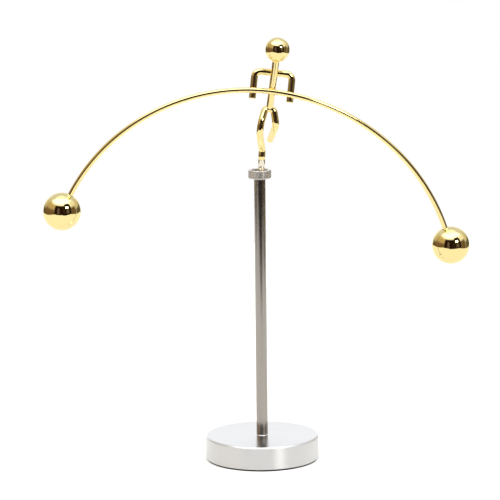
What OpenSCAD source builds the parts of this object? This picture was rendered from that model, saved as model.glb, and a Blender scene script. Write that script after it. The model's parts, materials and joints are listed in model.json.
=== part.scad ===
// Counterweight balancing figure: an acrobat bent from rod stands on one foot on a
// post and carries a bowed bar whose two end balls hang below that foot.
// Lengths are in millimetres. The origin is the middle of the base's underside,
// +Z runs up the post, and the figure faces -Y. Left and right are those of a
// viewer in front of the figure, so left is towards -X.

/* [Base] */
// Diameter of the turned base disc
base_d = 75; // [50:0.5:120]
// Thickness of the base disc
base_h = 15.1; // [12:0.1:30]
// Chamfer round the top edge of the base disc
base_top_chamfer = 0.9; // [0.3:0.1:2]
// Chamfer round the bottom edge of the base disc
base_bottom_chamfer = 0.4; // [0.2:0.1:1.5]
// Depth of the seat that locates the post in the base
post_seat_h = 1; // [0.5:0.1:3]
// Thickness of the soft pad under the base
pad_h = 1; // [0.5:0.1:3]
// Distance of the pad's edge inside the edge of the base
pad_inset = 1; // [0:0.1:5]

/* [Base screw] */
// Thread diameter of the screw that holds the post
screw_d = 4; // [3:0.5:5]
// Length of the screw's thread inside the post
screw_grip = 10.1; // [6:0.1:20]
// Diameter of the screw's head
screw_head_d = 7; // [5.5:0.1:9]
// Height of the screw's head
screw_head_h = 2.6; // [1.5:0.1:4]
// Width of the hexagon socket across its flats
screw_key_w = 2.5; // [1.5:0.5:4]
// Depth of the hexagon socket
screw_key_h = 1.5; // [0.8:0.1:2]
// Diameter of the washer under the head
washer_d = 9; // [8:0.1:12]
// Thickness of the washer
washer_h = 0.8; // [0.4:0.1:1.5]
// Room round the washer in the pocket of the underside
pocket_gap = 1; // [0.3:0.1:3]
// Room under the screw's head in that pocket
pocket_room = 1.6; // [0.3:0.1:4]

/* [Post] */
// Diameter of the post
post_d = 7.5; // [6.5:0.1:12]
// Length of the post
post_h = 173.1; // [80:0.1:300]
// Chamfer on both ends of the post
post_chamfer = 0.3; // [0.1:0.1:0.6]
// Depth of the tapped hole beyond the end of the screw
tap_room = 3.9; // [1:0.1:10]

/* [Cap] */
// Diameter of the cap
cap_d = 15.3; // [13:0.1:24]
// Height of the cap
cap_h = 5.5; // [3.5:0.1:8]
// Chamfer on the outer edges of the cap
cap_chamfer = 0.4; // [0.1:0.1:0.8]
// Height of the neck under the cap
cap_neck_h = 0.7; // [0.3:0.1:2]
// Diameter of the cap's spigot in the post
cap_spigot_d = 5; // [3:0.1:5.5]
// Length of the cap's spigot
cap_spigot_h = 8; // [4:0.5:15]
// Diameter of the recess in the top of the cap
recess_d = 10.6; // [8:0.1:12]
// Height of the cap's rim above the seat
rim_h = 1.1; // [0.4:0.1:2]
// Rounding of the rim's inner edge, as a chamfer
rim_chamfer = 0.4; // [0.1:0.1:0.6]

/* [Pivot] */
// Thickness of the hardened seat in the recess
seat_h = 0.9; // [0.6:0.1:1.5]
// Diameter of the pivot ball under the foot
pivot_ball_d = 2; // [1.5:0.1:3]
// Depth of the dish that the pivot ball stands in
pivot_sink = 0.35; // [0.2:0.05:0.5]
// Distance of that dish from the middle of the seat, to the right
dish_right = 1.2; // [0:0.1:2]

/* [Rods of the figure] */
// Diameter of the rod for legs, torso and arms
limb_d = 4.5; // [3.5:0.1:5.2]
// Chamfer on the free ends of the rods
rod_end_chamfer = 0.6; // [0.2:0.1:1.2]
// Swell of a rod's radius in its bends
bend_swell = 0.02; // [0.01:0.005:0.05]
// Sideways place of the torso, from the pivot
torso_x = 0; // [-5:0.1:5]
// Place of the torso behind the pivot
torso_y = 1.06; // [-2:0.01:8]
// Lap of the torso's fish-mouth end over the hips
torso_lap = 1.2; // [0.4:0.1:2]

/* [Legs] */
// Height of the hips above the pivot
hip_z = 41.8; // [36:0.1:50]
// Distance between the two hip corners
hip_w = 5.6; // [5.2:0.1:9]
// Distance of the standing knee to the left of the pivot
standing_knee_left = 6; // [4:0.1:8]
// Distance of the standing knee in front of the pivot
standing_knee_front = 8.7; // [5:0.1:12]
// Height of the standing knee above the pivot
standing_knee_z = 29.9; // [28:0.1:33]
// Distance of the heel to the left of the pivot
heel_left = 1.1; // [0.5:0.1:2.5]
// Distance of the heel behind the pivot
heel_back = 1.5; // [0.5:0.1:2]
// Height of the heel above the pivot
heel_z = 13.2; // [12.6:0.1:15]
// Distance of the raised knee to the right of the pivot
raised_knee_right = 5.3; // [4:0.1:8]
// Distance of the raised knee in front of the pivot
raised_knee_front = 2.8; // [0:0.1:5]
// Height of the raised knee above the pivot
raised_knee_z = 32.6; // [29:0.1:34]
// Distance of the raised foot to the right of the pivot
raised_foot_right = 4.1; // [2:0.1:8]
// Distance of the raised foot behind the pivot
raised_foot_back = 12.1; // [8:0.1:20]
// Height of the raised foot above the pivot
raised_foot_z = 17.4; // [14:0.1:24]
// Inside radius of the standing knee
standing_knee_bend = 9; // [1:0.1:11]
// Inside radius of the raised knee
raised_knee_bend = 2.8; // [1:0.1:4]
// Inside radius of the bends at both hips
hip_bend = 0.4; // [0.2:0.1:0.8]
// Inside radius of the bends at heel and ankle
ankle_bend = 1; // [0.2:0.1:1.4]

/* [Standing foot] */
// Tilt of the foot pin against the torso, in degrees
foot_tilt = 6; // [0:0.5:12]
// Distance of the ankle corner from the pivot, up the foot pin
ankle_reach = 10.2; // [9:0.1:11.4]
// Length of the foot pin from the pivot to the leg's end
foot_len = 7.8; // [5:0.1:8.2]
// Height of the foot pin's tapered end
foot_cone_h = 1.65; // [1:0.05:3]
// Width of the foot pin's blunt rim round the pivot ball
foot_rim = 0.4; // [0.2:0.05:0.6]
// Height of that rim above the middle of the pivot ball
foot_tip_z = 0.35; // [0.25:0.05:0.6]
// Chamfer that marks the joint of foot pin and leg
foot_chamfer = 0.3; // [0.1:0.1:0.6]
// Diameter of the foot pin's spigot in the leg
foot_spigot_d = 2.2; // [1.5:0.1:2.5]
// Length of the foot pin's spigot
foot_spigot_h = 2.2; // [1.5:0.1:3]

/* [Arms] */
// Distance of each arm from the torso
shoulder_w = 12.3; // [9:0.1:20]
// Height of the shoulders above the pivot
shoulder_z = 65.3; // [61:0.1:70]
// Inside radius of the shoulder bends
shoulder_bend = 1.8; // [0.5:0.1:4]
// Length of each arm from the shoulder corner to the hand's end
arm_len = 18.3; // [16:0.1:24]

/* [Head] */
// Diameter of the head
head_d = 16; // [12:0.5:20]
// Height of the middle of the head above the pivot
head_z = 82.1; // [77:0.1:90]
// Length of torso inside the head
head_grip = 5; // [3:0.5:8]

/* [Balance bar] */
// Diameter of the bar
bar_d = 3.5; // [2.5:0.1:4.5]
// Radius of the bow's left half, at the middle of the bar
bow_left_r = 127.5; // [120:0.5:200]
// Radius of the bow's right half, at the middle of the bar
bow_right_r = 143; // [120:0.5:200]
// Length of the bow from the torso to the left ball
bow_left_len = 159.05; // [120:0.05:200]
// Length of the bow from the torso to the right ball
bow_right_len = 157.2; // [120:0.05:200]
// Height above the pivot where the bar crosses the torso
bar_z = 54.7; // [50:0.05:57]
// Tilt of the bar against the shoulders, in degrees
bar_tilt = -1.15; // [-5:0.05:5]
// Diameter of each counterweight ball
ball_d = 25; // [20:0.5:30]
// Length of bar inside each ball
ball_grip = 8; // [5:0.5:12]

/* [Fits] */
// Gap that the solder fills between brazed rods
braze_gap = 0.05; // [0.02:0.01:0.1]
// Depth of the filed saddle where two rods cross
saddle_h = 0.4; // [0.1:0.05:0.8]
// Radial gap of spigots, seats and threads
fit_gap = 0.03; // [0.01:0.01:0.1]
// Radial gap of the screw and the washer in the base
screw_gap = 0.2; // [0.1:0.05:0.4]
// Running gap round the pivot ball
pivot_gap = 0.05; // [0.02:0.01:0.1]
// Running gap round the seat in the recess
seat_gap = 0.1; // [0.05:0.05:0.3]

/* [Pose] */
// Lean of the balanced figure at rest, in degrees towards the right
rest_lean = 7.37; // [0:0.01:15]
// Nod of the balanced figure at rest, in degrees towards the front
rest_nod = 9; // [0:0.01:15]

/* [Hidden] */
$fn = 96;

gold = "#e6c35c";
aluminium = "#d9dadb";
steel = "#8f9093";
pale_steel = "#c9c7c0";
pad_black = "#26262a";

// Overshoot of a cutting shape past the face it opens
over = 1;
// Length of a straight run that is buried in the bend it joins
bend_lap = 0.25;

// Heights of the stand, from the floor
base_top = pad_h + base_h;
post_z = base_top - post_seat_h;
post_top = post_z + post_h;
cap_z = post_top + cap_neck_h;
cap_top = cap_z + cap_h;
seat_top = cap_top - rim_h;
pocket_h = pocket_room + screw_head_h + washer_h;
washer_z = pad_h + pocket_h - washer_h;
screw_len = post_z + screw_grip - washer_z;
pivot_ball_r = pivot_ball_d / 2;
pivot_z = seat_top + pivot_ball_r - pivot_sink;
pivot = [dish_right, 0, pivot_z];

// Distances between the middles of rods that cross in a saddle
limb_r = limb_d / 2;
bar_seat = limb_r + bar_d / 2 - saddle_h;
limb_seat = limb_d - saddle_h;

// Bow of the bar: a left and a right arc that part at the torso
LEFT = 1;
RIGHT = -1;
bar_y = torso_y - bar_seat;
ball_r = ball_d / 2;
bow_top_angle = 90 + bar_tilt;
function bow_r(side) = side == LEFT ? bow_left_r : bow_right_r;
function bow_len(side) = side == LEFT ? bow_left_len : bow_right_len;
function bow_angle(side) = bow_len(side) / bow_r(side) * 180 / PI;
function round_about(a) = [cos(a), 0, sin(a)];
bow_top = [torso_x, bar_y, bar_z];
function bow_mid(side) = bow_top - bow_r(side) * round_about(bow_top_angle);
function bow_end_angle(side) = bow_top_angle + side * bow_angle(side);
function bow_end(side) = bow_mid(side) + bow_r(side) * round_about(bow_end_angle(side));
function bow_end_way(side) = side * round_about(bow_end_angle(side) + 90);
function ball_place(side) = bow_end(side) + ball_r * bow_end_way(side);
function bow_height(side, x) =
    bow_mid(side).z + sqrt(pow(bow_r(side), 2) - pow(x - bow_mid(side).x, 2));

// Corners of the leg rod, from the raised foot to the end at the foot pin
foot_way = [-sin(foot_tilt), 0, cos(foot_tilt)];
leg_corners = [
    [raised_foot_right, raised_foot_back, raised_foot_z],
    [raised_knee_right, -raised_knee_front, raised_knee_z],
    [torso_x + hip_w / 2, torso_y, hip_z],
    [torso_x - hip_w / 2, torso_y, hip_z],
    [-standing_knee_left, -standing_knee_front, standing_knee_z],
    [-heel_left, heel_back, heel_z],
    ankle_reach * foot_way,
    foot_len * foot_way
];
leg_bends = limb_r * [1, 1, 1, 1, 1, 1]
    + [raised_knee_bend, hip_bend, hip_bend, standing_knee_bend, ankle_bend, ankle_bend];

// The hips alone, for the fish mouth of the torso
hip_corners = [for (i = [1 : 4]) leg_corners[i]];
hip_bends = [for (i = [1 : 2]) leg_bends[i]];

// Corners of the arm rod, from hand to hand: each arm slopes forward until it
// touches the back of the bar
shoulder_y = torso_y + limb_seat;
function arm_x(side) = torso_x - side * shoulder_w;
function arm_slope(side) =
    let (back = shoulder_y - bar_y, drop = shoulder_z - bow_height(side, arm_x(side)))
    atan2(back, drop) - asin(bar_seat / norm([back, drop]));
function shoulder(side) = [arm_x(side), shoulder_y, shoulder_z];
function hand(side) =
    shoulder(side) - arm_len * [0, sin(arm_slope(side)), cos(arm_slope(side))];
arm_corners = [hand(LEFT), shoulder(LEFT), shoulder(RIGHT), hand(RIGHT)];
arm_bends = limb_r * [1, 1] + [shoulder_bend, shoulder_bend];

torso_bottom = hip_z + limb_r - torso_lap;
torso_top = head_z - head_d / 2 + head_grip;

// Geometry of a rod bent at its corners
function unit(v) = v / norm(v);
function turn(pts, i) = acos(unit(pts[i] - pts[i - 1]) * unit(pts[i + 1] - pts[i]));
function is_corner(pts, i) = i > 0 && i < len(pts) - 1;
function reach(pts, bends, i) =
    is_corner(pts, i) ? bends[i - 1] * tan(turn(pts, i) / 2) : 0;
function run_start(pts, bends, i) =
    pts[i] + reach(pts, bends, i) * unit(pts[i + 1] - pts[i]);
function run_end(pts, bends, i) =
    pts[i + 1] - reach(pts, bends, i + 1) * unit(pts[i + 1] - pts[i]);
function bend_inward(pts, i) =
    unit(unit(pts[i + 1] - pts[i]) - unit(pts[i] - pts[i - 1]));
function bend_mid(pts, bends, i) =
    pts[i] + bends[i - 1] / cos(turn(pts, i) / 2) * bend_inward(pts, i);

// Balance of the figure: each piece as its mass in grams and its centre
brass_density = 0.0085;
steel_density = 0.00785;
limb_area = PI * pow(limb_r, 2);
bar_area = PI * pow(bar_d / 2, 2);
function arc_pull(r, tube_r, angle) =
    (r + pow(tube_r, 2) / (4 * r)) * sin(angle / 2) / (angle / 2 * PI / 180);
function rod_masses(pts, bends) = concat(
    [for (i = [0 : len(pts) - 2])
        let (p = run_start(pts, bends, i), q = run_end(pts, bends, i))
        [brass_density * limb_area * norm(q - p), (p + q) / 2]],
    [for (i = [1 : len(pts) - 2])
        let (t = turn(pts, i), r = bends[i - 1])
        [brass_density * limb_area * r * t * PI / 180,
            bend_mid(pts, bends, i) - arc_pull(r, limb_r, t) * bend_inward(pts, i)]]
);
function ball_mass(d) = brass_density * PI * pow(d, 3) / 6;
figure_masses = concat(
    rod_masses(leg_corners, leg_bends),
    rod_masses(arm_corners, arm_bends),
    [for (side = [LEFT, RIGHT]) [ball_mass(ball_d), ball_place(side)]],
    [for (side = [LEFT, RIGHT])
        [brass_density * bar_area * bow_len(side),
            bow_mid(side) + arc_pull(bow_r(side), bar_d / 2, bow_angle(side))
                * round_about(bow_top_angle + side * bow_angle(side) / 2)]],
    [
        [ball_mass(head_d), [torso_x, torso_y, head_z]],
        [brass_density * limb_area * (head_z - head_d / 2 - torso_bottom),
            [torso_x, torso_y, (head_z - head_d / 2 + torso_bottom) / 2]],
        [steel_density * limb_area * (foot_len - foot_cone_h), foot_len / 2 * foot_way]
    ]
);
function total(masses, i = 0) = i == len(masses) ? 0 : masses[i][0] + total(masses, i + 1);
function moment(masses, i = 0) =
    i == len(masses) ? [0, 0, 0] : masses[i][0] * masses[i][1] + moment(masses, i + 1);
figure_mass = total(figure_masses);
figure_centre = moment(figure_masses) / figure_mass;
echo(figure_grams = figure_mass, centre_from_pivot = figure_centre);
echo(
    hangs_at_lean = atan2(figure_centre.x, -figure_centre.z),
    hangs_at_nod = atan2(-figure_centre.y, norm([figure_centre.x, figure_centre.z]))
);

// Turns what stands along Z to stand along a given way
module facing(way) {
    rotate([0, acos(way.z / norm(way)), atan2(way.y, way.x)]) children();
}

// A straight run of round rod from one point to another
module run(p, q, d) {
    translate(p) facing(q - p) cylinder(h = norm(q - p), d = d);
}

// The chamfered tip of a rod that ends at a point, with a stub inside the rod
module rod_end(from, to, d) {
    stub_r = d / 2 - bend_swell;
    translate(to)
        facing(to - from)
            rotate_extrude()
                polygon([
                    [0, -rod_end_chamfer - bend_lap],
                    [stub_r, -rod_end_chamfer - bend_lap],
                    [stub_r, -rod_end_chamfer + bend_swell],
                    [d / 2 - rod_end_chamfer, 0],
                    [0, 0]
                ]);
}

// The bend of a rod at corner i
module bend(pts, bends, i, d) {
    mid = bend_mid(pts, bends, i);
    along = unit(pts[i] - pts[i - 1]);
    out = unit(run_end(pts, bends, i - 1) - mid);
    axle = cross(out, along);
    multmatrix([
        [out.x, along.x, axle.x, mid.x],
        [out.y, along.y, axle.y, mid.y],
        [out.z, along.z, axle.z, mid.z],
        [0, 0, 0, 1]
    ])
        rotate_extrude(angle = turn(pts, i))
            translate([bends[i - 1], 0])
                circle(r = d / 2 + bend_swell);
}

// A rod bent at every inner corner, with its first and last end square or chamfered
module bent_rod(pts, bends, d, first_cut = 0, last_cut = 0) {
    last = len(pts) - 1;
    for (i = [0 : last - 1]) {
        way = unit(pts[i + 1] - pts[i]);
        run(
            run_start(pts, bends, i) + (i == 0 ? first_cut : -bend_lap) * way,
            run_end(pts, bends, i) - (i == last - 1 ? last_cut : -bend_lap) * way,
            d
        );
    }
    for (i = [1 : last - 1]) bend(pts, bends, i, d);
    if (first_cut > 0) rod_end(pts[1], pts[0], d);
    if (last_cut > 0) rod_end(pts[last - 1], pts[last], d);
}

// A cylinder with both edges chamfered
module chamfered_cylinder(r, h, top, bottom) {
    rotate_extrude()
        polygon([
            [0, 0], [r - bottom, 0], [r, bottom],
            [r, h - top], [r - top, h], [0, h]
        ]);
}

// The figure's own frame: the pivot at its origin, the torso upright
module figure() {
    translate(pivot)
        rotate([rest_nod, 0, 0])
            rotate([0, rest_lean, 0])
                children();
}

// One half of the bow, from the torso to its end
module half_bow(side, d) {
    translate(bow_mid(side))
        rotate([90, 0, 0])
            rotate([0, 0, min(bow_top_angle, bow_end_angle(side))])
                rotate_extrude(angle = bow_angle(side))
                    translate([bow_r(side), 0])
                        circle(d = d);
}

// The bowed bar, and the space that its neighbours leave for it: the halves
// meet in a short straight stretch at the torso
module bow(d) {
    middle = bend_lap * round_about(bow_top_angle + 90);
    for (side = [LEFT, RIGHT]) half_bow(side, d);
    run(bow_top - middle, bow_top + middle, d + 2 * bend_swell);
}

module base_disc() {
    color(aluminium)
        difference() {
            translate([0, 0, pad_h])
                chamfered_cylinder(base_d / 2, base_h, base_top_chamfer, base_bottom_chamfer);
            translate([0, 0, post_z])
                cylinder(h = post_seat_h + over, r = post_d / 2 + fit_gap);
            translate([0, 0, pad_h - over])
                cylinder(h = base_h, r = screw_d / 2 + screw_gap);
            translate([0, 0, pad_h - over])
                cylinder(h = pocket_h + over, r = washer_d / 2 + pocket_gap);
        }
}

module base_pad() {
    color(pad_black) cylinder(h = pad_h, r = base_d / 2 - pad_inset);
}

module base_screw() {
    color(steel)
        difference() {
            union() {
                translate([0, 0, washer_z - screw_head_h])
                    cylinder(h = screw_head_h, d = screw_head_d);
                translate([0, 0, washer_z])
                    cylinder(h = screw_len, d = screw_d);
            }
            translate([0, 0, washer_z - screw_head_h - over])
                cylinder(h = screw_key_h + over, d = screw_key_w / cos(30), $fn = 6);
        }
}

module base_washer() {
    color(pale_steel)
        translate([0, 0, washer_z])
            difference() {
                cylinder(h = washer_h, d = washer_d);
                translate([0, 0, -over])
                    cylinder(h = washer_h + 2 * over, r = screw_d / 2 + screw_gap);
            }
}

module post() {
    color(steel)
        difference() {
            translate([0, 0, post_z])
                chamfered_cylinder(post_d / 2, post_h, post_chamfer, post_chamfer);
            translate([0, 0, post_z - over])
                cylinder(h = screw_grip + tap_room + over, r = screw_d / 2 + fit_gap);
            translate([0, 0, post_top - cap_spigot_h - fit_gap])
                cylinder(h = cap_spigot_h + over, r = cap_spigot_d / 2 + fit_gap);
        }
}

module top_cap() {
    recess_h = rim_h + seat_h + seat_gap;
    color(pale_steel)
        difference() {
            union() {
                translate([0, 0, cap_z])
                    chamfered_cylinder(cap_d / 2, cap_h, cap_chamfer, cap_chamfer);
                translate([0, 0, post_top])
                    cylinder(h = cap_neck_h, d = post_d);
                translate([0, 0, post_top - cap_spigot_h])
                    cylinder(h = cap_spigot_h, d = cap_spigot_d);
            }
            translate([0, 0, cap_top - recess_h])
                cylinder(h = recess_h + over, d = recess_d);
            translate([0, 0, cap_top - rim_chamfer])
                cylinder(
                    h = rim_chamfer + over,
                    r1 = recess_d / 2,
                    r2 = recess_d / 2 + rim_chamfer + over
                );
        }
}

module pivot_seat() {
    color(pale_steel)
        difference() {
            translate([0, 0, seat_top - seat_h])
                cylinder(h = seat_h, r = recess_d / 2 - seat_gap);
            translate(pivot) sphere(r = pivot_ball_r + pivot_gap);
        }
}

module pivot_ball() {
    color(steel) translate(pivot) sphere(r = pivot_ball_r);
}

module foot_pin() {
    color(pale_steel)
        figure()
            rotate([0, -foot_tilt, 0])
                difference() {
                    rotate_extrude()
                        polygon([
                            [0, foot_tip_z],
                            [pivot_ball_r + foot_rim, foot_tip_z],
                            [limb_r, foot_tip_z + foot_cone_h],
                            [limb_r, foot_len - foot_chamfer],
                            [limb_r - foot_chamfer, foot_len],
                            [foot_spigot_d / 2, foot_len],
                            [foot_spigot_d / 2, foot_len + foot_spigot_h],
                            [0, foot_len + foot_spigot_h]
                        ]);
                    sphere(r = pivot_ball_r + pivot_gap);
                }
}

module leg_rod() {
    color(gold)
        figure()
            difference() {
                bent_rod(leg_corners, leg_bends, limb_d, first_cut = rod_end_chamfer);
                rotate([0, -foot_tilt, 0])
                    translate([0, 0, foot_len - over])
                        cylinder(
                            h = foot_spigot_h + fit_gap + over,
                            r = foot_spigot_d / 2 + fit_gap
                        );
            }
}

module torso_rod() {
    color(gold)
        figure()
            difference() {
                translate([torso_x, torso_y, torso_bottom])
                    cylinder(h = torso_top - torso_bottom, d = limb_d);
                bent_rod(hip_corners, hip_bends, limb_d + 2 * braze_gap);
                bow(bar_d + 2 * braze_gap);
            }
}

module arm_rod() {
    color(gold)
        figure()
            difference() {
                bent_rod(
                    arm_corners, arm_bends, limb_d,
                    first_cut = rod_end_chamfer, last_cut = rod_end_chamfer
                );
                translate([torso_x, torso_y, torso_bottom])
                    cylinder(h = torso_top - torso_bottom, r = limb_r + braze_gap);
                bow(bar_d + 2 * braze_gap);
            }
}

// A ball drilled from below for the end of a rod
module drilled_ball(d, rod_d, grip) {
    difference() {
        sphere(d = d);
        translate([0, 0, -d / 2 - over])
            cylinder(h = over + grip + braze_gap, d = rod_d + 2 * braze_gap);
    }
}

module head_ball() {
    color(gold)
        figure()
            translate([torso_x, torso_y, head_z]) drilled_ball(head_d, limb_d, head_grip);
}

module balance_bar() {
    color(gold)
        figure() {
            bow(bar_d);
            for (side = [LEFT, RIGHT])
                run(
                    bow_end(side) - bend_lap * bow_end_way(side),
                    bow_end(side) + ball_grip * bow_end_way(side),
                    bar_d - 2 * bend_swell
                );
        }
}

// A counterweight ball on one end of the bar
module counterweight(side) {
    color(gold)
        figure()
            translate(ball_place(side))
                facing(bow_end_way(side)) drilled_ball(ball_d, bar_d, ball_grip);
}

module left_ball() {
    counterweight(LEFT);
}

module right_ball() {
    counterweight(RIGHT);
}

base_disc();
base_pad();
base_screw();
base_washer();
post();
top_cap();
pivot_seat();
pivot_ball();
foot_pin();
leg_rod();
torso_rod();
arm_rod();
head_ball();
balance_bar();
left_ball();
right_ball();
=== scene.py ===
"""Looks of the counterweight balancing figure: gilt rods and balls on a steel post and a turned base.

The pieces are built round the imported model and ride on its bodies. Lengths are in metres.
"""

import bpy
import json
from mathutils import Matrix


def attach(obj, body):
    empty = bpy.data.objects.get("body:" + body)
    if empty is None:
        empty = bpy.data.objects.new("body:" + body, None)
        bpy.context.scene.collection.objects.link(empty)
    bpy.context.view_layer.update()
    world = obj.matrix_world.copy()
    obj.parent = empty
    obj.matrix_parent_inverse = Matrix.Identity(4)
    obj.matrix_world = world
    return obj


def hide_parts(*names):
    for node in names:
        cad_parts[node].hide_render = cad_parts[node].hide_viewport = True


bl_info = {
    "name": "Balancing Figure",
    "version": (1, 0, 0),
    "blender": (4, 5, 0),
    "location": "3D View > Sidebar > Balancing Figure",
    "description": "Builds a gilt balancing figure on its post, with its finishes and its studio",
    "category": "Object",
}

import json
import math

import bmesh
import bpy
from bpy.props import FloatProperty, FloatVectorProperty, PointerProperty
from mathutils import Matrix, Vector

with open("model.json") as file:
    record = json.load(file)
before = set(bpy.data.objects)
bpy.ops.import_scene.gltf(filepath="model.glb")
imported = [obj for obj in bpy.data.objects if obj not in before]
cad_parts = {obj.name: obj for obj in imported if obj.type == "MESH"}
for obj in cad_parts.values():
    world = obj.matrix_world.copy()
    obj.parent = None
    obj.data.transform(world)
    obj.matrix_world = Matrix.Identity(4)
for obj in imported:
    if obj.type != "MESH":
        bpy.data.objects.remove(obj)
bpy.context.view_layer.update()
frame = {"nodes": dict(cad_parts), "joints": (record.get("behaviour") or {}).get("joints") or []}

MM = 0.001
PIVOT = Vector(next(each["pos_m"] for each in frame["joints"] if each["name"] == "rock_side"))

# Facets round a rod, round a turned piece, along a quarter turn of a bend and of a ball's outline,
# along a rounded edge, along a solder collar and along each half of the bow
ROD_SIDES = 48
TURNED_SIDES = 192
BEND_STEPS = 24
BALL_STEPS = 48
EDGE_STEPS = 4
COLLAR_STEPS = 8
BOW_STEPS = 96
QUARTER_TURN = math.pi / 2
# Faces that meet more sharply than this keep a crisp edge
SMOOTH_ANGLE = math.radians(35)
# A face is level when its normal is within two degrees of upright
LEVEL = math.cos(math.radians(2))
# Points that are nearer than this are merged
MERGE_DISTANCE = 0.0005 * MM


# Colours and sizes

def linear(hex_colour):
    """Turn an sRGB hex colour into linear red, green and blue."""
    levels = [int(hex_colour[i : i + 2], 16) / 255 for i in (1, 3, 5)]
    return [v / 12.92 if v <= 0.04045 else ((v + 0.055) / 1.055) ** 2.4 for v in levels]


def length(name, description, millimetres):
    """A length property, whose default is given in millimetres."""
    return FloatProperty(
        name=name, description=description, default=millimetres * MM, unit="LENGTH", precision=4
    )


def angle(name, description, degrees):
    """An angle property, whose default is given in degrees."""
    return FloatProperty(
        name=name, description=description, default=math.radians(degrees), subtype="ANGLE"
    )


def point(name, description, millimetres):
    """A point from the pivot, with the torso upright, whose default is given in millimetres."""
    place = [v * MM for v in millimetres]
    return FloatVectorProperty(
        name=name, description=description, default=place, subtype="XYZ", unit="LENGTH"
    )


def colour(name, description, hex_colour):
    """A colour property, whose default is given as sRGB hex."""
    shade = linear(hex_colour)
    return FloatVectorProperty(
        name=name, description=description, default=shade, subtype="COLOR", min=0, max=1
    )


class FigureSizes(bpy.types.PropertyGroup):
    """Sizes of the figure, measured from the pivot with the torso upright"""

    lean: angle("Lean", "Lean of the figure at rest, towards the right", 7.37)
    nod: angle("Nod", "Nod of the figure at rest, towards the front", 9)
    limb: length("Limb rod", "Diameter of the rod of legs, torso and arms", 4.5)
    end_round: length("Rod ends", "Rounding of the free ends of the rods", 0.7)
    joint_round: length("Joint edge", "Rounding of the leg's end on the foot pin", 0.1)
    torso: point("Torso", "Foot of the torso's axis", (0, 1.06, 0))
    hip_height: length("Hip height", "Height of the hips", 41.8)
    hip_width: length("Hip width", "Distance between the two hip corners", 5.6)
    raised_foot: point("Raised foot", "End of the raised foot", (4.1, 12.1, 17.4))
    raised_knee: point("Raised knee", "Corner of the raised knee", (5.3, -2.8, 32.6))
    standing_knee: point("Standing knee", "Corner of the standing knee", (-6, -8.7, 29.9))
    heel: point("Heel", "Corner of the standing heel", (-1.1, 1.5, 13.2))
    ankle: length("Ankle", "Distance of the ankle corner up the foot pin", 10.2)
    raised_knee_bend: length("Raised knee bend", "Inside radius of the raised knee", 2.8)
    standing_knee_bend: length("Standing knee bend", "Inside radius of the standing knee", 9)
    hip_bend: length("Hip bend", "Inside radius of the bends at both hips", 0.4)
    ankle_bend: length("Ankle bend", "Inside radius of the bends at heel and ankle", 1)
    shoulder_height: length("Shoulder height", "Height of the shoulders", 65.3)
    shoulder_width: length("Shoulder width", "Distance of each arm from the torso", 12.3)
    shoulder_bend: length("Shoulder bend", "Inside radius of the shoulders", 1.8)
    arm: length("Arm", "Length of each arm from its shoulder corner", 18.3)
    saddle: length("Saddle", "Depth of the filed saddle where two rods cross", 0.4)
    head: length("Head", "Diameter of the head", 16)
    head_height: length("Head height", "Height of the middle of the head", 82.1)
    neck: length("Neck", "Distance of the torso's end below the middle of the head", 4)
    collar: length("Solder collar", "Radius of the solder round a rod that enters a ball", 0.9)


class FootSizes(bpy.types.PropertyGroup):
    """Sizes of the foot pin, measured along it from the pivot"""

    tilt: angle("Tilt", "Tilt of the foot pin against the torso", 6)
    length: length("Length", "Length of the foot pin up to the leg's end", 7.8)
    tip_height: length("Tip height", "Height of the blunt rim above the pivot", 0.35)
    tip: length("Tip", "Diameter of the blunt rim", 2.8)
    cone: length("Cone", "Height of the tapered end", 1.65)
    shoulder: length("Shoulder", "Chamfer that marks the joint of pin and leg", 0.3)
    spigot: length("Spigot", "Diameter of the spigot in the leg", 2.2)
    spigot_length: length("Spigot length", "Length of the spigot in the leg", 2.2)
    hollow: length("Hollow", "Radius of the hollow that clears the pivot ball", 1.05)


class StandSizes(bpy.types.PropertyGroup):
    """Sizes of the base, the post and the cap, with heights from the table"""

    base: length("Base", "Diameter of the base", 75)
    base_foot: length("Base foot", "Height of the base's underside, on its pad", 1)
    base_top: length("Base top", "Height of the base's top", 16.1)
    base_top_chamfer: length("Top chamfer", "Chamfer round the base's top", 0.9)
    base_foot_chamfer: length("Foot chamfer", "Chamfer round the base's underside", 0.4)
    lip: length("Lip", "Burr round the post, raised when the post was pressed in", 0.25)
    screw_hole: length("Screw hole", "Diameter of the hole for the screw", 4.4)
    pocket: length("Pocket", "Diameter of the pocket under the base", 11)
    pocket_top: length("Pocket top", "Height of the pocket's roof", 6)
    post: length("Post", "Diameter of the post", 7.5)
    post_foot: length("Post foot", "Height of the post's foot in its seat", 15.1)
    post_top: length("Post top", "Height of the post's top", 188.2)
    post_chamfer: length("Post chamfer", "Chamfer at both ends of the post", 0.3)
    tapped_hole: length("Tapped hole", "Diameter of the hole in the post's foot", 4.06)
    tapped_depth: length("Tapped depth", "Depth of the hole in the post's foot", 14)
    spigot: length("Cap spigot", "Diameter of the cap's spigot in the post", 5)
    spigot_length: length("Spigot length", "Length of the cap's spigot", 8)
    cap: length("Cap", "Diameter of the cap", 15.3)
    cap_foot: length("Cap foot", "Height of the cap's underside", 188.9)
    cap_top: length("Cap top", "Height of the cap's rim", 194.4)
    cap_chamfer: length("Cap chamfer", "Chamfer round the cap's edges", 0.4)
    recess: length("Recess", "Diameter of the recess in the cap", 10.6)
    recess_depth: length("Recess depth", "Depth of the recess in the cap", 2.1)
    fit: length("Fit", "Radial gap of seats and spigots", 0.03)
    broken_edge: length("Broken edge", "Rounding left where an edge was broken with a file", 0.12)


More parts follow.
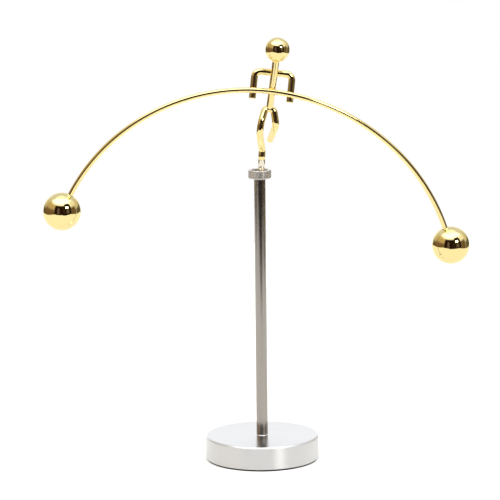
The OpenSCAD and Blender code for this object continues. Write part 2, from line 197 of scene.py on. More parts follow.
class BowSizes(bpy.types.PropertyGroup):
    """Sizes of the balance bar and its balls"""

    bar: length("Bar", "Diameter of the bar", 3.5)
    height: length("Height", "Height above the pivot where the bar crosses the torso", 54.7)
    tilt: angle("Tilt", "Tilt of the bar against the shoulders", -1.15)
    left_radius: length("Left radius", "Radius of the bow's left half", 127.5)
    right_radius: length("Right radius", "Radius of the bow's right half", 143)
    left_length: length("Left length", "Length of the bow from the torso to the left ball", 159.05)
    right_length: length("Right length", "Length of the bow from the torso to the right ball", 157.2)
    ball: length("Ball", "Diameter of each counterweight ball", 25)
    grip: length("Grip", "Length of bar inside each ball", 8)
    tip_round: length("Tip rounding", "Rounding of the bar's ends inside the balls", 0.3)


class Finishes(bpy.types.PropertyGroup):
    """Colours of the finishes"""

    gilt: colour("Gilt brass", "Pale gold plating", "#fdecaa")
    gilt_deep: colour("Deep gilt", "Gold plating where it is thickest", "#f8e4a0")
    steel: colour("Steel", "Drawn steel of the post", "#b8b3ac")
    steel_dark: colour("Dark steel", "Drawing lines in the post", "#9d9891")
    cap_steel: colour("Cap steel", "Turned steel of the cap", "#e6e2dc")
    cap_steel_dark: colour("Dark cap steel", "Tool marks in the cap", "#cfcac3")
    bright_steel: colour("Bright steel", "Hardened and polished steel of the pivot", "#f4eedd")
    bright_steel_dark: colour("Dark bright steel", "Clouds in the polish of the pivot", "#e6dfcd")
    aluminium: colour("Aluminium", "Turned aluminium of the base", "#fafbfb")
    aluminium_dark: colour("Dark aluminium", "Tool marks in the base", "#eff0f1")
    zinc: colour("Zinc", "Zinc plated steel of screw and washer", "#c3c6cb")
    zinc_dark: colour("Dark zinc", "Clouds in the zinc plate", "#aeb1b7")
    rubber: colour("Rubber", "Black rubber of the pad", "#1d1c1b")
    rubber_dust: colour("Rubber dust", "Grey bloom on the rubber", "#2b2a28")
    paper: colour("Paper", "White paper that the toy stands on", "#f8f8f6")


class StageSettings(bpy.types.PropertyGroup):
    """Place of the camera and edges of the paper"""

    distance: length("Distance", "Distance of the camera from the toy's middle", 2000)
    middle: length("Middle", "Height of the middle that the camera circles", 150)
    azimuth: angle("Azimuth", "Turn of the camera to the left of the front", 3)
    elevation: angle("Elevation", "Height of the camera above that middle, as an angle", 10.16)
    aim_side: length("Aim sideways", "Point that the camera aims at, right of the post", -6.85)
    aim_height: length("Aim height", "Height of the point that the camera aims at", 140.9)
    roll: angle("Roll", "Roll of the camera", -0.61)
    lens: FloatProperty(name="Lens", description="Focal length", default=218.8, unit="CAMERA")
    paper_front: length("Paper front", "Distance of the paper's front edge from the post", 560)
    paper_left_front: length("Paper left front", "Distance of its front edge on the left", 700)
    paper_step: length("Paper step", "Distance of the step in its front edge, to the left", 60)
    paper_left: length("Paper left", "Distance of the paper's left edge from the post", 850)
    paper_right: length("Paper right", "Distance of the paper's right edge from the post", 680)
    paper_back: length("Paper back", "Distance of the paper's back edge from the post", 800)


class BalanceToySettings(bpy.types.PropertyGroup):
    """All settings of the balancing figure"""

    figure: PointerProperty(type=FigureSizes)
    foot: PointerProperty(type=FootSizes)
    bow: PointerProperty(type=BowSizes)
    stand: PointerProperty(type=StandSizes)
    finishes: PointerProperty(type=Finishes)
    stage: PointerProperty(type=StageSettings)


def settings():
    """The settings of the scene that is built."""
    return bpy.context.scene.balance_toy


def upright_to_rest():
    """Matrix from the upright figure, with the pivot as its origin, to the figure at rest."""
    figure = settings().figure
    nod = Matrix.Rotation(figure.nod, 4, "X")
    lean = Matrix.Rotation(figure.lean, 4, "Y")
    return Matrix.Translation(PIVOT) @ nod @ lean


# Materials

# Distance between the features of each pattern, in millimetres
GILT_TONES = 14
GILT_HAZE = 1.5
GILT_RIPPLE = 5
DRAWN_LINES = 0.7
BASE_RINGS = 0.5
CAP_RINGS = 0.3
POLISH_CLOUDS = 0.8
RUBBER_GRAIN = 0.4
# Share of each distance that is left along the rod, which draws its pattern out into lines
LINE_STRETCH = 1, 1, 0.01
# Least and most roughness of each finish
GILT_ROUGH = 0.02, 0.06
DRAWN_ROUGH = 0.14, 0.24
BRIGHT_ROUGH = 0.03, 0.08
ZINC_ROUGH = 0.25, 0.4
RUBBER_ROUGH = 0.85
# Mean roughness of turned sides and faced tops, and the share by which their rings differ from it
BASE_SIDE_ROUGH = 0.38
BASE_TOP_ROUGH = 0.25
CAP_SIDE_ROUGH = 0.29
CAP_TOP_ROUGH = 0.12
RING_CONTRAST = 0.2
# Strength and depth of each finish's relief
GILT_RELIEF = 0.02, 0.5 * MM
DRAWN_RELIEF = 0.05, 0.1 * MM
RING_RELIEF = 0.05, 0.05 * MM
RUBBER_RELIEF = 0.4, 0.1 * MM
# Anisotropy of a drawn rod, a turned side and a faced top
LINED = 0.5
STREAKED = 0.9
EVEN = 0.2
# Share of a full turn that lays the streaks across the rings
ACROSS = 0.25


def add_node(tree, kind, inputs=None, **values):
    """Add a shader node with its settings, and link or set its inputs."""
    node = tree.nodes.new(kind)
    for name, value in values.items():
        setattr(node, name, value)
    for socket, value in (inputs or {}).items():
        if isinstance(value, bpy.types.NodeSocket):
            tree.links.new(value, node.inputs[socket])
        else:
            node.inputs[socket].default_value = value
    return node


def per_metre(millimetres):
    """Scale of a pattern whose features are that far apart."""
    return 1 / (millimetres * MM)


def rgba(shade):
    """A colour as shader sockets take it."""
    return (*shade, 1)


def new_material(name):
    """A new material with an empty tree, its shader and its Object coordinates."""
    made = bpy.data.materials.new(name)
    made.use_nodes = True
    tree = made.node_tree
    tree.nodes.clear()
    shader = add_node(tree, "ShaderNodeBsdfPrincipled")
    add_node(tree, "ShaderNodeOutputMaterial", {"Surface": shader.outputs["BSDF"]})
    place = add_node(tree, "ShaderNodeTexCoord").outputs["Object"]
    return made, tree, shader, place


def finish_metal(tree, shader, shades, tones, rough, haze, relief=None, bumps=None):
    """Finish a metal, with its shades, its roughness and its relief each drawn by a pattern."""
    tint = add_node(
        tree,
        "ShaderNodeMix",
        {0: tones.outputs["Fac"], 6: rgba(shades[0]), 7: rgba(shades[1])},
        data_type="RGBA",
    )
    spread = add_node(
        tree,
        "ShaderNodeMapRange",
        {"Value": haze.outputs["Fac"], "To Min": rough[0], "To Max": rough[1]},
    )
    shader.inputs["Metallic"].default_value = 1
    tree.links.new(tint.outputs[2], shader.inputs["Base Color"])
    tree.links.new(spread.outputs["Result"], shader.inputs["Roughness"])
    if bumps:
        bump = add_node(
            tree,
            "ShaderNodeBump",
            {"Strength": relief[0], "Distance": relief[1], "Height": bumps.outputs["Fac"]},
        )
        tree.links.new(bump.outputs["Normal"], shader.inputs["Normal"])


def gold_plated_brass():
    """Brass, polished on a wheel and plated with pale gold."""
    # A clear mirror: the room shows in it sharply, with a slight waver from the wheel.
    finish = settings().finishes
    made, tree, shader, place = new_material("gold_plated_brass")
    tones, haze, ripple = (
        add_node(
            tree, "ShaderNodeTexNoise", {"Vector": place, "Scale": per_metre(gap), "Detail": detail}
        )
        for gap, detail in ((GILT_TONES, 2), (GILT_HAZE, 3), (GILT_RIPPLE, 1))
    )
    shades = finish.gilt, finish.gilt_deep
    finish_metal(tree, shader, shades, tones, GILT_ROUGH, haze, GILT_RELIEF, ripple)
    return made


def drawn_steel():
    """Steel rod, drawn through a die."""
    # Lines along the rod spread each reflection sideways, so only its height can be read.
    # Real lines are finer than a pixel, so they are drawn about 0.7 mm apart to show.
    finish = settings().finishes
    made, tree, shader, place = new_material("drawn_steel")
    stretched = add_node(tree, "ShaderNodeMapping", {"Vector": place, "Scale": LINE_STRETCH})
    lines = add_node(
        tree,
        "ShaderNodeTexNoise",
        {"Vector": stretched.outputs["Vector"], "Scale": per_metre(DRAWN_LINES), "Detail": 3},
    )
    shader.inputs["Anisotropic"].default_value = LINED
    shades = finish.steel_dark, finish.steel
    finish_metal(tree, shader, shades, lines, DRAWN_ROUGH, lines, DRAWN_RELIEF, lines)
    return made


def turned_metal(name, shades, ring_gap, rough, streak):
    """Metal cut on a lathe, turned round its side or faced across its top."""
    # Rings round a turned side draw each lamp out into a streak across them. A faced top has a
    # finer cut and mirrors evenly. Real rings are about 0.1 mm apart, and are drawn coarser to show.
    made, tree, shader, place = new_material(name)
    parts = add_node(tree, "ShaderNodeSeparateXYZ", {"Vector": place})
    across = add_node(tree, "ShaderNodeCombineXYZ", {"X": parts.outputs["X"], "Y": parts.outputs["Y"]})
    radius = add_node(tree, "ShaderNodeVectorMath", {0: across.outputs["Vector"]}, operation="LENGTH")
    along = add_node(
        tree, "ShaderNodeMath", {0: radius.outputs["Value"], 1: parts.outputs["Z"]}, operation="ADD"
    )
    rings = add_node(
        tree,
        "ShaderNodeTexNoise",
        {"W": along.outputs["Value"], "Scale": per_metre(ring_gap), "Detail": 3},
        noise_dimensions="1D",
    )
    shader.inputs["Anisotropic"].default_value = streak
    shader.inputs["Anisotropic Rotation"].default_value = ACROSS
    spread = (1 - RING_CONTRAST) * rough, (1 + RING_CONTRAST) * rough
    finish_metal(tree, shader, shades, rings, spread, rings, RING_RELIEF, rings)
    return made


def small_metal(name, shades, rough):
    """Small hardened or plated piece."""
    # Even and bright, with a slight cloud in its polish or its plating.
    made, tree, shader, place = new_material(name)
    clouds = add_node(
        tree, "ShaderNodeTexNoise", {"Vector": place, "Scale": per_metre(POLISH_CLOUDS), "Detail": 3}
    )
    finish_metal(tree, shader, shades, clouds, rough, clouds)
    return made


def sheet_rubber():
    """Black rubber, calendered into a sheet and punched."""
    # Matt and nearly black, with a fine grain and a grey bloom.
    finish = settings().finishes
    made, tree, shader, place = new_material("sheet_rubber")
    grain = add_node(
        tree, "ShaderNodeTexNoise", {"Vector": place, "Scale": per_metre(RUBBER_GRAIN), "Detail": 4}
    )
    tint = add_node(
        tree,
        "ShaderNodeMix",
        {0: grain.outputs["Fac"], 6: rgba(finish.rubber), 7: rgba(finish.rubber_dust)},
        data_type="RGBA",
    )
    bump = add_node(
        tree,
        "ShaderNodeBump",
        {"Strength": RUBBER_RELIEF[0], "Distance": RUBBER_RELIEF[1], "Height": grain.outputs["Fac"]},
    )
    shader.inputs["Roughness"].default_value = RUBBER_ROUGH
    tree.links.new(tint.outputs[2], shader.inputs["Base Color"])
    tree.links.new(bump.outputs["Normal"], shader.inputs["Normal"])
    return made


def material(maker, *args):
    """The material of that maker, made once."""
    name = args[0] if args else maker.__name__
    return bpy.data.materials.get(name) or maker(*args)


def dress(node_name, finish):
    """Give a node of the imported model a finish."""
    slots = frame["nodes"][node_name].data.materials
    slots.clear()
    slots.append(finish)


# Shapes

def facing(place, way):
    """Matrix that puts a shape's origin at a place and its Z axis along a way."""
    return Matrix.Translation(place) @ way.to_track_quat("Z", "Y").to_matrix().to_4x4()


def start_rod(bm, place, way, radius):
    """A ring of edges across a rod's axis."""
    made = bmesh.ops.create_circle(bm, segments=ROD_SIDES, radius=radius, matrix=facing(place, way))
    return list({edge for vert in made["verts"] for edge in vert.link_edges})


def draw_straight(bm, ring, step):
    """Extrude a ring along a straight step, and return the new ring."""
    made = bmesh.ops.extrude_edge_only(bm, edges=ring)["geom"]
    verts = {item for item in made if isinstance(item, bmesh.types.BMVert)}
    bmesh.ops.translate(bm, verts=list(verts), vec=step)
    edges = {edge for vert in verts for edge in vert.link_edges}
    return [edge for edge in edges if set(edge.verts) <= verts]


def draw_bend(bm, ring, centre, axis, turn, steps):
    """Spin a ring round a bend, and return the new ring."""
    made = bmesh.ops.spin(bm, geom=ring, cent=centre, axis=axis, angle=turn, steps=steps)
    return [item for item in made["geom_last"] if isinstance(item, bmesh.types.BMEdge)]


def close_end(bm, ring, rounding):
    """Close a rod's end with a flat face and round its rim."""
    face = bmesh.ops.edgeloop_fill(bm, edges=ring)["faces"][0]
    bmesh.ops.bevel(
        bm,
        geom=list(face.edges),
        offset=rounding,
        segments=EDGE_STEPS,
        profile=0.5,
        affect="EDGES",
        material=-1,
    )


def bent_rod(corners, bends, radius, first_round, last_round):
    """A rod that is bent at each inner corner, with that radius at the middle of the rod."""
    bm = bmesh.new()
    ways = [(b - a).normalized() for a, b in zip(corners, corners[1:])]
    here = corners[0]
    first = ring = start_rod(bm, here, ways[0], radius)
    for corner, bend, way, next_way in zip(corners[1:], bends, ways, ways[1:]):
        turn = way.angle(next_way)
        reach = bend * math.tan(turn / 2)
        bend_start = corner - reach * way
        inward = (next_way - way).normalized()
        centre = corner + bend / math.cos(turn / 2) * inward
        axis = way.cross(next_way).normalized()
        steps = max(2, math.ceil(turn / QUARTER_TURN * BEND_STEPS))
        ring = draw_straight(bm, ring, bend_start - here)
        ring = draw_bend(bm, ring, centre, axis, turn, steps)
        here = corner + reach * next_way
    last = draw_straight(bm, ring, corners[-1] - here)
    close_end(bm, first, first_round)
    close_end(bm, last, last_round)
    return bm


def turned(outline):
    """A piece turned about Z from an outline of corners: radius, height and rounding."""
    bm = bmesh.new()
    verts = [bm.verts.new((radius, 0, height)) for radius, height, rounding in outline]
    for here, there in zip(verts, verts[1:] + verts[:1]):
        if here.co.x or there.co.x:
            bm.edges.new((here, there))
    for vert, (radius, height, rounding) in zip(verts, outline):
        if rounding:
            bmesh.ops.bevel(
                bm,
                geom=[vert],
                offset=rounding,
                segments=EDGE_STEPS,
                profile=0.5,
                affect="VERTICES",
                material=-1,
            )
    spin_full(bm)
    return bm


def spin_full(bm):
    """Spin everything a full turn about Z."""
    geom = bm.verts[:] + bm.edges[:]
    bmesh.ops.spin(
        bm, geom=geom, cent=(0, 0, 0), axis=(0, 0, 1), angle=math.tau, steps=TURNED_SIDES, use_merge=True
    )


def collared_ball(radius, rod_radius, collar):
    """A ball whose rod leaves it along +Z, with a solder collar that runs up the rod."""
    bm = bmesh.new()
    apart = radius + collar
    collar_angle = math.asin((rod_radius + collar) / apart)
    collar_height = apart * math.cos(collar_angle)
    foot = bm.verts.new((0, 0, -radius))
    ball_turn = math.pi - collar_angle
    steps = math.ceil(ball_turn / QUARTER_TURN * BALL_STEPS)
    arc = bmesh.ops.spin(
        bm, geom=[foot], cent=(0, 0, 0), axis=(0, -1, 0), angle=ball_turn, steps=steps
    )["geom_last"]
    rim = [item for item in arc if isinstance(item, bmesh.types.BMVert)]
    bmesh.ops.spin(
        bm,
        geom=rim,
        cent=(rod_radius + collar, 0, collar_height),
        axis=(0, 1, 0),
        angle=QUARTER_TURN - collar_angle,
        steps=COLLAR_STEPS,
    )
    spin_full(bm)
    return bm


def add_piece(bm, name, finish, body, slot, *nodes):
    """Turn a finished bmesh into a piece that rides on a body and stands for nodes."""
    bmesh.ops.remove_doubles(bm, verts=bm.verts, dist=MERGE_DISTANCE)
    bmesh.ops.recalc_face_normals(bm, faces=bm.faces)
    mesh = bpy.data.meshes.new(name)
    bm.to_mesh(mesh)
    bm.free()
    mesh.shade_smooth()
    mesh.set_sharp_from_angle(angle=SMOOTH_ANGLE)
    mesh.materials.append(finish)
    piece = bpy.data.objects.new(name, mesh)
    bpy.context.scene.collection.objects.link(piece)
    piece.modifiers.new("flat faces stay flat", "WEIGHTED_NORMAL").keep_sharp = True
    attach(piece, body)
    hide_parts(*nodes)
    return piece


# Pieces of the figure

def add_figure_piece(bm, name, *nodes):
    """A gilt piece that was built upright round the pivot."""
    bm.transform(upright_to_rest())
    return add_piece(bm, name, material(gold_plated_brass), "figure", "gilt_brass", *nodes)


def foot_way():
    """Way of the foot pin, up from the pivot."""
    tilt = settings().foot.tilt
    return Vector((-math.sin(tilt), 0, math.cos(tilt)))


# Sides of the bow: its angle grows from the torso to the left and falls to the right
LEFT = 1
RIGHT = -1


class BowShape:
    """Both halves of the bow, with the places and ways of its ends."""

    def __init__(self):
        sizes = settings().bow
        figure = settings().figure
        self.seat = (figure.limb + sizes.bar) / 2 - figure.saddle
        self.top = Vector((figure.torso.x, figure.torso.y - self.seat, sizes.height))
        self.top_angle = QUARTER_TURN + sizes.tilt
        self.radii = {LEFT: sizes.left_radius, RIGHT: sizes.right_radius}
        self.turns = {
            LEFT: sizes.left_length / sizes.left_radius,
            RIGHT: sizes.right_length / sizes.right_radius,
        }

    def out(self, turn):
        """Way from the middle of an arc to its rod."""
        return Vector((math.cos(turn), 0, math.sin(turn)))

    def middle(self, side):
        """Middle of the arc of one half."""
        return self.top - self.radii[side] * self.out(self.top_angle)

    def end_angle(self, side):
        """Angle at which one half ends."""
        return self.top_angle + side * self.turns[side]

    def end(self, side):
        """End of one half, on its ball's surface."""
        return self.middle(side) + self.radii[side] * self.out(self.end_angle(side))

    def end_way(self, side):
        """Way in which the rod leaves one half, into its ball."""
        return side * self.out(self.end_angle(side) + QUARTER_TURN)

    def height_at(self, side, x):
        """Height of one half at a distance to the side."""
        middle = self.middle(side)
        return middle.z + math.sqrt(self.radii[side] ** 2 - (x - middle.x) ** 2)


class BALANCETOY_OT_legs(bpy.types.Operator):
    """Bend the leg rod from the raised foot over the hips to the standing ankle"""

    bl_idname = "balance_toy.legs"
    bl_label = "Legs"

    def execute(self, context):
        sizes = settings().figure
        radius = sizes.limb / 2
        hips = Vector((sizes.torso.x, sizes.torso.y, sizes.hip_height))
        half_hips = Vector((sizes.hip_width / 2, 0, 0))
        corners = [
            Vector(sizes.raised_foot),
            Vector(sizes.raised_knee),
            hips + half_hips,
            hips - half_hips,
            Vector(sizes.standing_knee),
            Vector(sizes.heel),
            sizes.ankle * foot_way(),
            settings().foot.length * foot_way(),
        ]
        hip = sizes.hip_bend
        ankle = sizes.ankle_bend
        insides = [sizes.raised_knee_bend, hip, hip, sizes.standing_knee_bend, ankle, ankle]
        bends = [radius + inside for inside in insides]
        bm = bent_rod(corners, bends, radius, sizes.end_round, sizes.joint_round)
        add_figure_piece(bm, "legs", "leg_rod")
        return {"FINISHED"}


class BALANCETOY_OT_torso(bpy.types.Operator):
    """Stand the torso rod on the hips"""

    bl_idname = "balance_toy.torso"
    bl_label = "Torso"

    def execute(self, context):
        sizes = settings().figure
        axis = Vector(sizes.torso)
        radius = sizes.limb / 2
        bottom = axis + Vector((0, 0, sizes.hip_height))
        top = axis + Vector((0, 0, sizes.head_height - sizes.neck))
        bm = bent_rod([bottom, top], [], radius, sizes.end_round, sizes.end_round)
        add_figure_piece(bm, "torso", "torso_rod")
        return {"FINISHED"}


class BALANCETOY_OT_arms(bpy.types.Operator):
    """Bend the arm rod, whose arms slope forward until they touch the back of the bar"""

    bl_idname = "balance_toy.arms"
    bl_label = "Arms"

    def execute(self, context):
        sizes = settings().figure
        bow = BowShape()
        shoulder_y = sizes.torso.y + sizes.limb - sizes.saddle

        def arm(side):
            x = sizes.torso.x - side * sizes.shoulder_width
            back = shoulder_y - bow.top.y
            drop = sizes.shoulder_height - bow.height_at(side, x)
            slope = math.atan2(back, drop) - math.asin(bow.seat / math.hypot(back, drop))
            shoulder = Vector((x, shoulder_y, sizes.shoulder_height))
            hand = shoulder - sizes.arm * Vector((0, math.sin(slope), math.cos(slope)))
            return shoulder, hand

        left_shoulder, left_hand = arm(LEFT)
        right_shoulder, right_hand = arm(RIGHT)
        radius = sizes.limb / 2
        bends = [radius + sizes.shoulder_bend] * 2
        corners = [left_hand, left_shoulder, right_shoulder, right_hand]
        bm = bent_rod(corners, bends, radius, sizes.end_round, sizes.end_round)
        add_figure_piece(bm, "arms", "arm_rod")
        return {"FINISHED"}


class BALANCETOY_OT_head(bpy.types.Operator):
    """Set the head on the torso, with solder round the neck"""

    bl_idname = "balance_toy.head"
    bl_label = "Head"

    def execute(self, context):
        sizes = settings().figure
        bm = collared_ball(sizes.head / 2, sizes.limb / 2, sizes.collar)
        place = Vector((sizes.torso.x, sizes.torso.y, sizes.head_height))
        bm.transform(facing(place, Vector((0, 0, -1))))
        add_figure_piece(bm, "head", "head_ball")
        return {"FINISHED"}


class BALANCETOY_OT_bar(bpy.types.Operator):
    """Bend the balance bar in its two arcs, with its ends inside the balls"""

    bl_idname = "balance_toy.bar"
    bl_label = "Balance bar"

    def execute(self, context):
        sizes = settings().bow
        bow = BowShape()
        bm = bmesh.new()
        inward = -bow.end_way(LEFT)
        left_tip = bow.end(LEFT) - sizes.grip * inward
        right_tip = bow.end(RIGHT) + sizes.grip * bow.end_way(RIGHT)
        first = start_rod(bm, left_tip, inward, sizes.bar / 2)
        ring = draw_straight(bm, first, bow.end(LEFT) - left_tip)
        for side in (LEFT, RIGHT):
            ring = draw_bend(bm, ring, bow.middle(side), (0, 1, 0), bow.turns[side], BOW_STEPS)
        last = draw_straight(bm, ring, right_tip - bow.end(RIGHT))
        for end in (first, last):
            close_end(bm, end, sizes.tip_round)
        add_figure_piece(bm, "bar", "balance_bar")
        return {"FINISHED"}


class BALANCETOY_OT_balls(bpy.types.Operator):
    """Set a counterweight ball on each end of the bar, with solder round the bar"""

    bl_idname = "balance_toy.balls"
    bl_label = "Counterweight balls"

    def execute(self, context):
        sizes = settings().bow
        bow = BowShape()
        for side, name, node in ((LEFT, "ball_left", "left_ball"), (RIGHT, "ball_right", "right_ball")):
            bm = collared_ball(sizes.ball / 2, sizes.bar / 2, settings().figure.collar)
            way = bow.end_way(side)
            bm.transform(facing(bow.end(side) + sizes.ball / 2 * way, -way))
            add_figure_piece(bm, name, node)
        return {"FINISHED"}


# Pieces of the stand and the bearing

def finish_tops(piece, finish):
    """Give the level faces of a turned piece the finish of a faced top."""
    piece.data.materials.append(finish)
    for face in piece.data.polygons:
        if face.normal.z > LEVEL:
            face.material_index = 1


class BALANCETOY_OT_base(bpy.types.Operator):
    """Turn the base, and finish its pad, its screw and its washer"""

    bl_idname = "balance_toy.base"
    bl_label = "Base"

    def execute(self, context):
        sizes = settings().stand
        finish = settings().finishes
        soft = sizes.broken_edge
        softer = 2 * soft
        rim = sizes.base / 2
        seat = sizes.post / 2 + sizes.fit
        top, foot = sizes.base_top, sizes.base_foot
        top_cut, foot_cut = sizes.base_top_chamfer, sizes.base_foot_chamfer
        outline = [
            (seat, top + sizes.lip, 0),
            (seat + sizes.lip, top, 0),
            (rim - top_cut, top, softer),
            (rim, top - top_cut, softer),
            (rim, foot + foot_cut, soft),
            (rim - foot_cut, foot, soft),
            (sizes.pocket / 2, foot, soft),
            (sizes.pocket / 2, sizes.pocket_top, 0),
            (sizes.screw_hole / 2, sizes.pocket_top, 0),
            (sizes.screw_hole / 2, sizes.post_foot, 0),
            (seat, sizes.post_foot, 0),
        ]
        shades = finish.aluminium_dark, finish.aluminium
        side = material(
            turned_metal, "lathe_turned_aluminium", shades, BASE_RINGS, BASE_SIDE_ROUGH, STREAKED
        )
        faced = material(turned_metal, "lathe_faced_aluminium", shades, BASE_RINGS, BASE_TOP_ROUGH, EVEN)
        base = add_piece(turned(outline), "base", side, "stand", "turned_aluminium", "base_disc")
        finish_tops(base, faced)
        dress("base_pad", material(sheet_rubber))
        plate = finish.zinc_dark, finish.zinc
        zinc = material(small_metal, "zinc_plated_steel", plate, ZINC_ROUGH)
        dress("base_screw", zinc)
        dress("base_washer", zinc)
        return {"FINISHED"}


class BALANCETOY_OT_post(bpy.types.Operator):
    """Turn the post with its tapped foot and the cap with its recess"""

    bl_idname = "balance_toy.post"
    bl_label = "Post and cap"

    def execute(self, context):
        sizes = settings().stand
        finish = settings().finishes
        soft = sizes.broken_edge
        radius, cut = sizes.post / 2, sizes.post_chamfer
        foot, top = sizes.post_foot, sizes.post_top
        tap, tap_end = sizes.tapped_hole / 2, foot + sizes.tapped_depth
        bore, bore_end = sizes.spigot / 2 + sizes.fit, top - sizes.spigot_length - sizes.fit
        outline = [
            (0, tap_end, 0),
            (tap, tap_end, 0),
            (tap, foot, 0),
            (radius - cut, foot, soft),
            (radius, foot + cut, soft),
            (radius, top - cut, soft),
            (radius - cut, top, soft),
            (bore, top, 0),
            (bore, bore_end, 0),
            (0, bore_end, 0),
        ]
        add_piece(turned(outline), "upright", material(drawn_steel), "stand", "post_steel", "post")

        rim, cut = sizes.cap / 2, sizes.cap_chamfer
        spigot, recess = sizes.spigot / 2, sizes.recess / 2
        cap_foot, cap_top = sizes.cap_foot, sizes.cap_top
        recess_floor = cap_top - sizes.recess_depth
        outline = [
            (0, top - sizes.spigot_length, 0),
            (spigot, top - sizes.spigot_length, 0),
            (spigot, top, 0),
            (radius, top, soft),
            (radius, cap_foot, soft),
            (rim - cut, cap_foot, soft),
            (rim, cap_foot + cut, soft),
            (rim, cap_top - cut, soft),
            (rim - cut, cap_top, soft),
            (recess + cut, cap_top, soft),
            (recess, cap_top - cut, soft),
            (recess, recess_floor, 0),
            (0, recess_floor, 0),
        ]
        shades = finish.cap_steel_dark, finish.cap_steel
        side = material(turned_metal, "lathe_turned_steel", shades, CAP_RINGS, CAP_SIDE_ROUGH, STREAKED)
        faced = material(turned_metal, "lathe_faced_steel", shades, CAP_RINGS, CAP_TOP_ROUGH, EVEN)
        cap = add_piece(turned(outline), "cap", side, "stand", "cap_steel", "top_cap")
        finish_tops(cap, faced)
        return {"FINISHED"}


class BALANCETOY_OT_bearing(bpy.types.Operator):
    """Turn the foot pin, and finish the seat and the pivot ball"""

    bl_idname = "balance_toy.bearing"
    bl_label = "Bearing"

    def execute(self, context):
        sizes = settings().foot
        finish = settings().finishes
        soft = settings().stand.broken_edge
        limb = settings().figure.limb / 2
        spigot = sizes.spigot / 2
        end = sizes.length + sizes.spigot_length
        hollow_rim = math.sqrt(sizes.hollow**2 - sizes.tip_height**2)
        outline = [
            (0, sizes.hollow, 0),
            (hollow_rim, sizes.tip_height, 0),
            (sizes.tip / 2, sizes.tip_height, soft),
            (limb, sizes.tip_height + sizes.cone, soft),
            (limb, sizes.length - sizes.shoulder, soft),
            (limb - sizes.shoulder, sizes.length, 0),
            (spigot, sizes.length, 0),
            (spigot, end, 0),
            (0, end, 0),
        ]
        polish = finish.bright_steel_dark, finish.bright_steel
        bright = material(small_metal, "hardened_steel", polish, BRIGHT_ROUGH)
        bm = turned(outline)
        bm.transform(upright_to_rest() @ Matrix.Rotation(-sizes.tilt, 4, "Y"))
        add_piece(bm, "foot", bright, "figure", "polished_steel", "foot_pin")
        for name in ("pivot_seat", "pivot_ball"):
            dress(name, bright)
        return {"FINISHED"}


# Stage

# Parts of the studio, of which each lies over those before it: left and right azimuth, with 0 in
# front and 90 on the right, lowest and highest elevation, softness of the edges, all in degrees,
# and the light that comes from there
ROOM = (
    # Large softbox overhead
    (-110, 110, 50, 88, 5, (2.3, 2.3, 2.3)),
    # Grey upper part of the backdrop, and dark corners beside it, which fade upwards
    (-200, -112, 22, 62, 7, (0.74, 0.75, 0.82)),
    (112, 200, 22, 62, 7, (0.74, 0.75, 0.82)),
    (-148, -112, 6, 32, 8, (0.6, 0.54, 0.4)),
    (104, 151, 8, 30, 8, (0.65, 0.6, 0.45)),
    (-149, -112, -80, 8, 6, (0.1, 0.08, 0.05)),
    (100, 152, -80, 10, 6, (0.12, 0.1, 0.07)),
    # Wall on the left, which is lighter near its top, and wall on the right
    (-118, -45, 15, 42, 7, (0.55, 0.42, 0.22)),
    (-118, -45, -80, 18, 7, (0.21, 0.125, 0.075)),
    (-118, -45, -80, 4, 6, (0.17, 0.1, 0.055)),
    (60, 100, -80, 25, 7, (0.15, 0.1, 0.05)),
    # Dim room behind the camera, with strips of light in it
    (-48, 63, -80, 42, 4, (0.02, 0.009, 0.005)),
    (-27, -15, -6, 27, 3, (0.14, 0.105, 0.11)),
    (11, 18, -4, 25, 3, (0.04, 0.03, 0.025)),
    (30, 46, -4, 18, 3, (0.14, 0.11, 0.09)),
    # Lamp with its black housing
    (20, 60, 36, 52, 4, (0.008, 0.008, 0.008)),
    (27, 44, 25, 34, 2, (12, 11.7, 11.3)),
)
WHITE = 1, 1, 1
# Lighter ceiling: the elevations in degrees where it starts and is full, and its light
CEILING = 44, 60, (1.35, 1.35, 1.35)
# Light that the paper adds where the camera sees it, so that it shows as white as the backdrop
PAPER_GLOW = 0.25


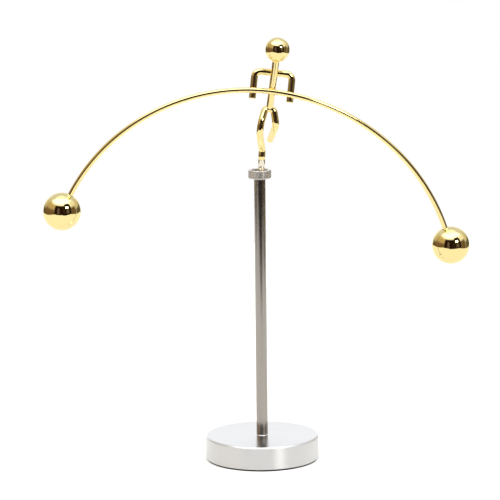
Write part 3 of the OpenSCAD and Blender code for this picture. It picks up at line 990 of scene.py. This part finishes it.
def add_room():
    """The studio as the metal sees it: a white ceiling and backdrop, and a dim room in front."""
    world = bpy.data.worlds.new("studio")
    bpy.context.scene.world = world
    world.use_nodes = True
    tree = world.node_tree
    tree.nodes.clear()
    way = add_node(tree, "ShaderNodeTexCoord").outputs["Generated"]
    parts = add_node(tree, "ShaderNodeSeparateXYZ", {"Vector": way})
    front = add_node(tree, "ShaderNodeMath", {0: parts.outputs["Y"], 1: -1}, operation="MULTIPLY")
    azimuth = add_node(
        tree, "ShaderNodeMath", {0: parts.outputs["X"], 1: front.outputs["Value"]}, operation="ARCTAN2"
    )
    height = add_node(tree, "ShaderNodeMath", {0: parts.outputs["Z"]}, operation="ARCSINE")

    def edge(value, low, high):
        """0 below the first angle and 1 above the second, both in degrees."""
        return add_node(
            tree,
            "ShaderNodeMapRange",
            {"Value": value, "From Min": math.radians(low), "From Max": math.radians(high)},
            interpolation_type="SMOOTHSTEP",
        ).outputs["Result"]

    def patch(left, right, bottom, top, soft):
        """A patch of the room between two azimuths and two elevations, in degrees."""
        sides = [
            edge(azimuth.outputs["Value"], left - soft, left + soft),
            edge(azimuth.outputs["Value"], right + soft, right - soft),
            edge(height.outputs["Value"], bottom - soft, bottom + soft),
            edge(height.outputs["Value"], top + soft, top - soft),
        ]
        share = sides[0]
        for side in sides[1:]:
            product = add_node(tree, "ShaderNodeMath", {0: share, 1: side}, operation="MULTIPLY")
            share = product.outputs["Value"]
        return share

    def paint(under, share, shade):
        """Lay a shade over what is there, by its share."""
        over = add_node(tree, "ShaderNodeMix", {0: share, 6: under, 7: rgba(shade)}, data_type="RGBA")
        return over.outputs[2]

    start, full, shade = CEILING
    sky = paint(rgba(WHITE), edge(height.outputs["Value"], start, full), shade)
    for left, right, bottom, top, soft, shade in ROOM:
        sky = paint(sky, patch(left, right, bottom, top, soft), shade)
    light = add_node(tree, "ShaderNodeBackground", {"Color": sky})
    white = add_node(tree, "ShaderNodeBackground", {"Color": rgba(WHITE)})
    path = add_node(tree, "ShaderNodeLightPath")
    seen = add_node(
        tree,
        "ShaderNodeMixShader",
        {0: path.outputs["Is Camera Ray"], 1: light.outputs[0], 2: white.outputs[0]},
    )
    add_node(tree, "ShaderNodeOutputWorld", {"Surface": seen.outputs["Shader"]})


def add_paper():
    """White paper under the toy, which keeps its shadow."""
    sizes = settings().stage
    bm = bmesh.new()
    left, right, step = -sizes.paper_left, sizes.paper_right, -sizes.paper_step
    front, left_front, back = -sizes.paper_front, -sizes.paper_left_front, sizes.paper_back
    corners = (
        (left, left_front),
        (step, left_front),
        (step, front),
        (right, front),
        (right, back),
        (left, back),
    )
    bm.faces.new([bm.verts.new((x, y, 0)) for x, y in corners])
    mesh = bpy.data.meshes.new("paper")
    bm.to_mesh(mesh)
    bm.free()
    made = bpy.data.materials.new("paper")
    made.use_nodes = True
    tree = made.node_tree
    tree.nodes.clear()
    matt = add_node(tree, "ShaderNodeBsdfDiffuse", {"Color": rgba(settings().finishes.paper)})
    path = add_node(tree, "ShaderNodeLightPath")
    level = add_node(
        tree,
        "ShaderNodeMath",
        {0: path.outputs["Is Camera Ray"], 1: PAPER_GLOW},
        operation="MULTIPLY",
    )
    glow = add_node(tree, "ShaderNodeEmission", {"Strength": level.outputs["Value"]})
    both = add_node(tree, "ShaderNodeAddShader", {0: matt.outputs["BSDF"], 1: glow.outputs["Emission"]})
    add_node(tree, "ShaderNodeOutputMaterial", {"Surface": both.outputs["Shader"]})
    mesh.materials.append(made)
    paper = bpy.data.objects.new("paper", mesh)
    bpy.context.scene.collection.objects.link(paper)


def add_camera():
    """A long lens in front of the toy, a little to its left and above it."""
    sizes = settings().stage
    spot = Matrix.Rotation(-sizes.azimuth, 4, "Z")
    stand = sizes.distance * math.cos(sizes.elevation)
    rise = sizes.middle + sizes.distance * math.sin(sizes.elevation)
    place = spot @ Vector((0, -stand, rise))
    aim = spot @ Vector((sizes.aim_side, 0, sizes.aim_height))
    look = (aim - place).to_track_quat("-Z", "Y").to_matrix().to_4x4()
    data = bpy.data.cameras.new("camera")
    data.lens = sizes.lens
    camera = bpy.data.objects.new("camera", data)
    camera.matrix_world = Matrix.Translation(place) @ look @ Matrix.Rotation(sizes.roll, 4, "Z")
    bpy.context.scene.collection.objects.link(camera)
    bpy.context.scene.camera = camera


class BALANCETOY_OT_stage(bpy.types.Operator):
    """Set up the camera, the paper and the studio round the toy"""

    bl_idname = "balance_toy.stage"
    bl_label = "Stage"

    def execute(self, context):
        context.scene.view_settings.view_transform = "Standard"
        add_camera()
        add_room()
        add_paper()
        return {"FINISHED"}


class BALANCETOY_PT_panel(bpy.types.Panel):
    """Steps that build the balancing figure"""

    bl_label = "Balancing Figure"
    bl_idname = "BALANCETOY_PT_panel"
    bl_space_type = "VIEW_3D"
    bl_region_type = "UI"
    bl_category = "Balancing Figure"

    def draw(self, context):
        for step in STEPS:
            self.layout.operator(step.bl_idname)


STEPS = (
    BALANCETOY_OT_stage,
    BALANCETOY_OT_base,
    BALANCETOY_OT_post,
    BALANCETOY_OT_bearing,
    BALANCETOY_OT_legs,
    BALANCETOY_OT_torso,
    BALANCETOY_OT_arms,
    BALANCETOY_OT_head,
    BALANCETOY_OT_bar,
    BALANCETOY_OT_balls,
)
GROUPS = (FigureSizes, FootSizes, BowSizes, StandSizes, Finishes, StageSettings, BalanceToySettings)
CLASSES = (*GROUPS, *STEPS, BALANCETOY_PT_panel)


def register():
    for each in CLASSES:
        bpy.utils.register_class(each)
    bpy.types.Scene.balance_toy = PointerProperty(type=BalanceToySettings)


def unregister():
    del bpy.types.Scene.balance_toy
    for each in reversed(CLASSES):
        bpy.utils.unregister_class(each)


def main():
    register()
    for step in STEPS:
        group, name = step.bl_idname.split(".")
        getattr(getattr(bpy.ops, group), name)()


if __name__ == "__main__":
    main()
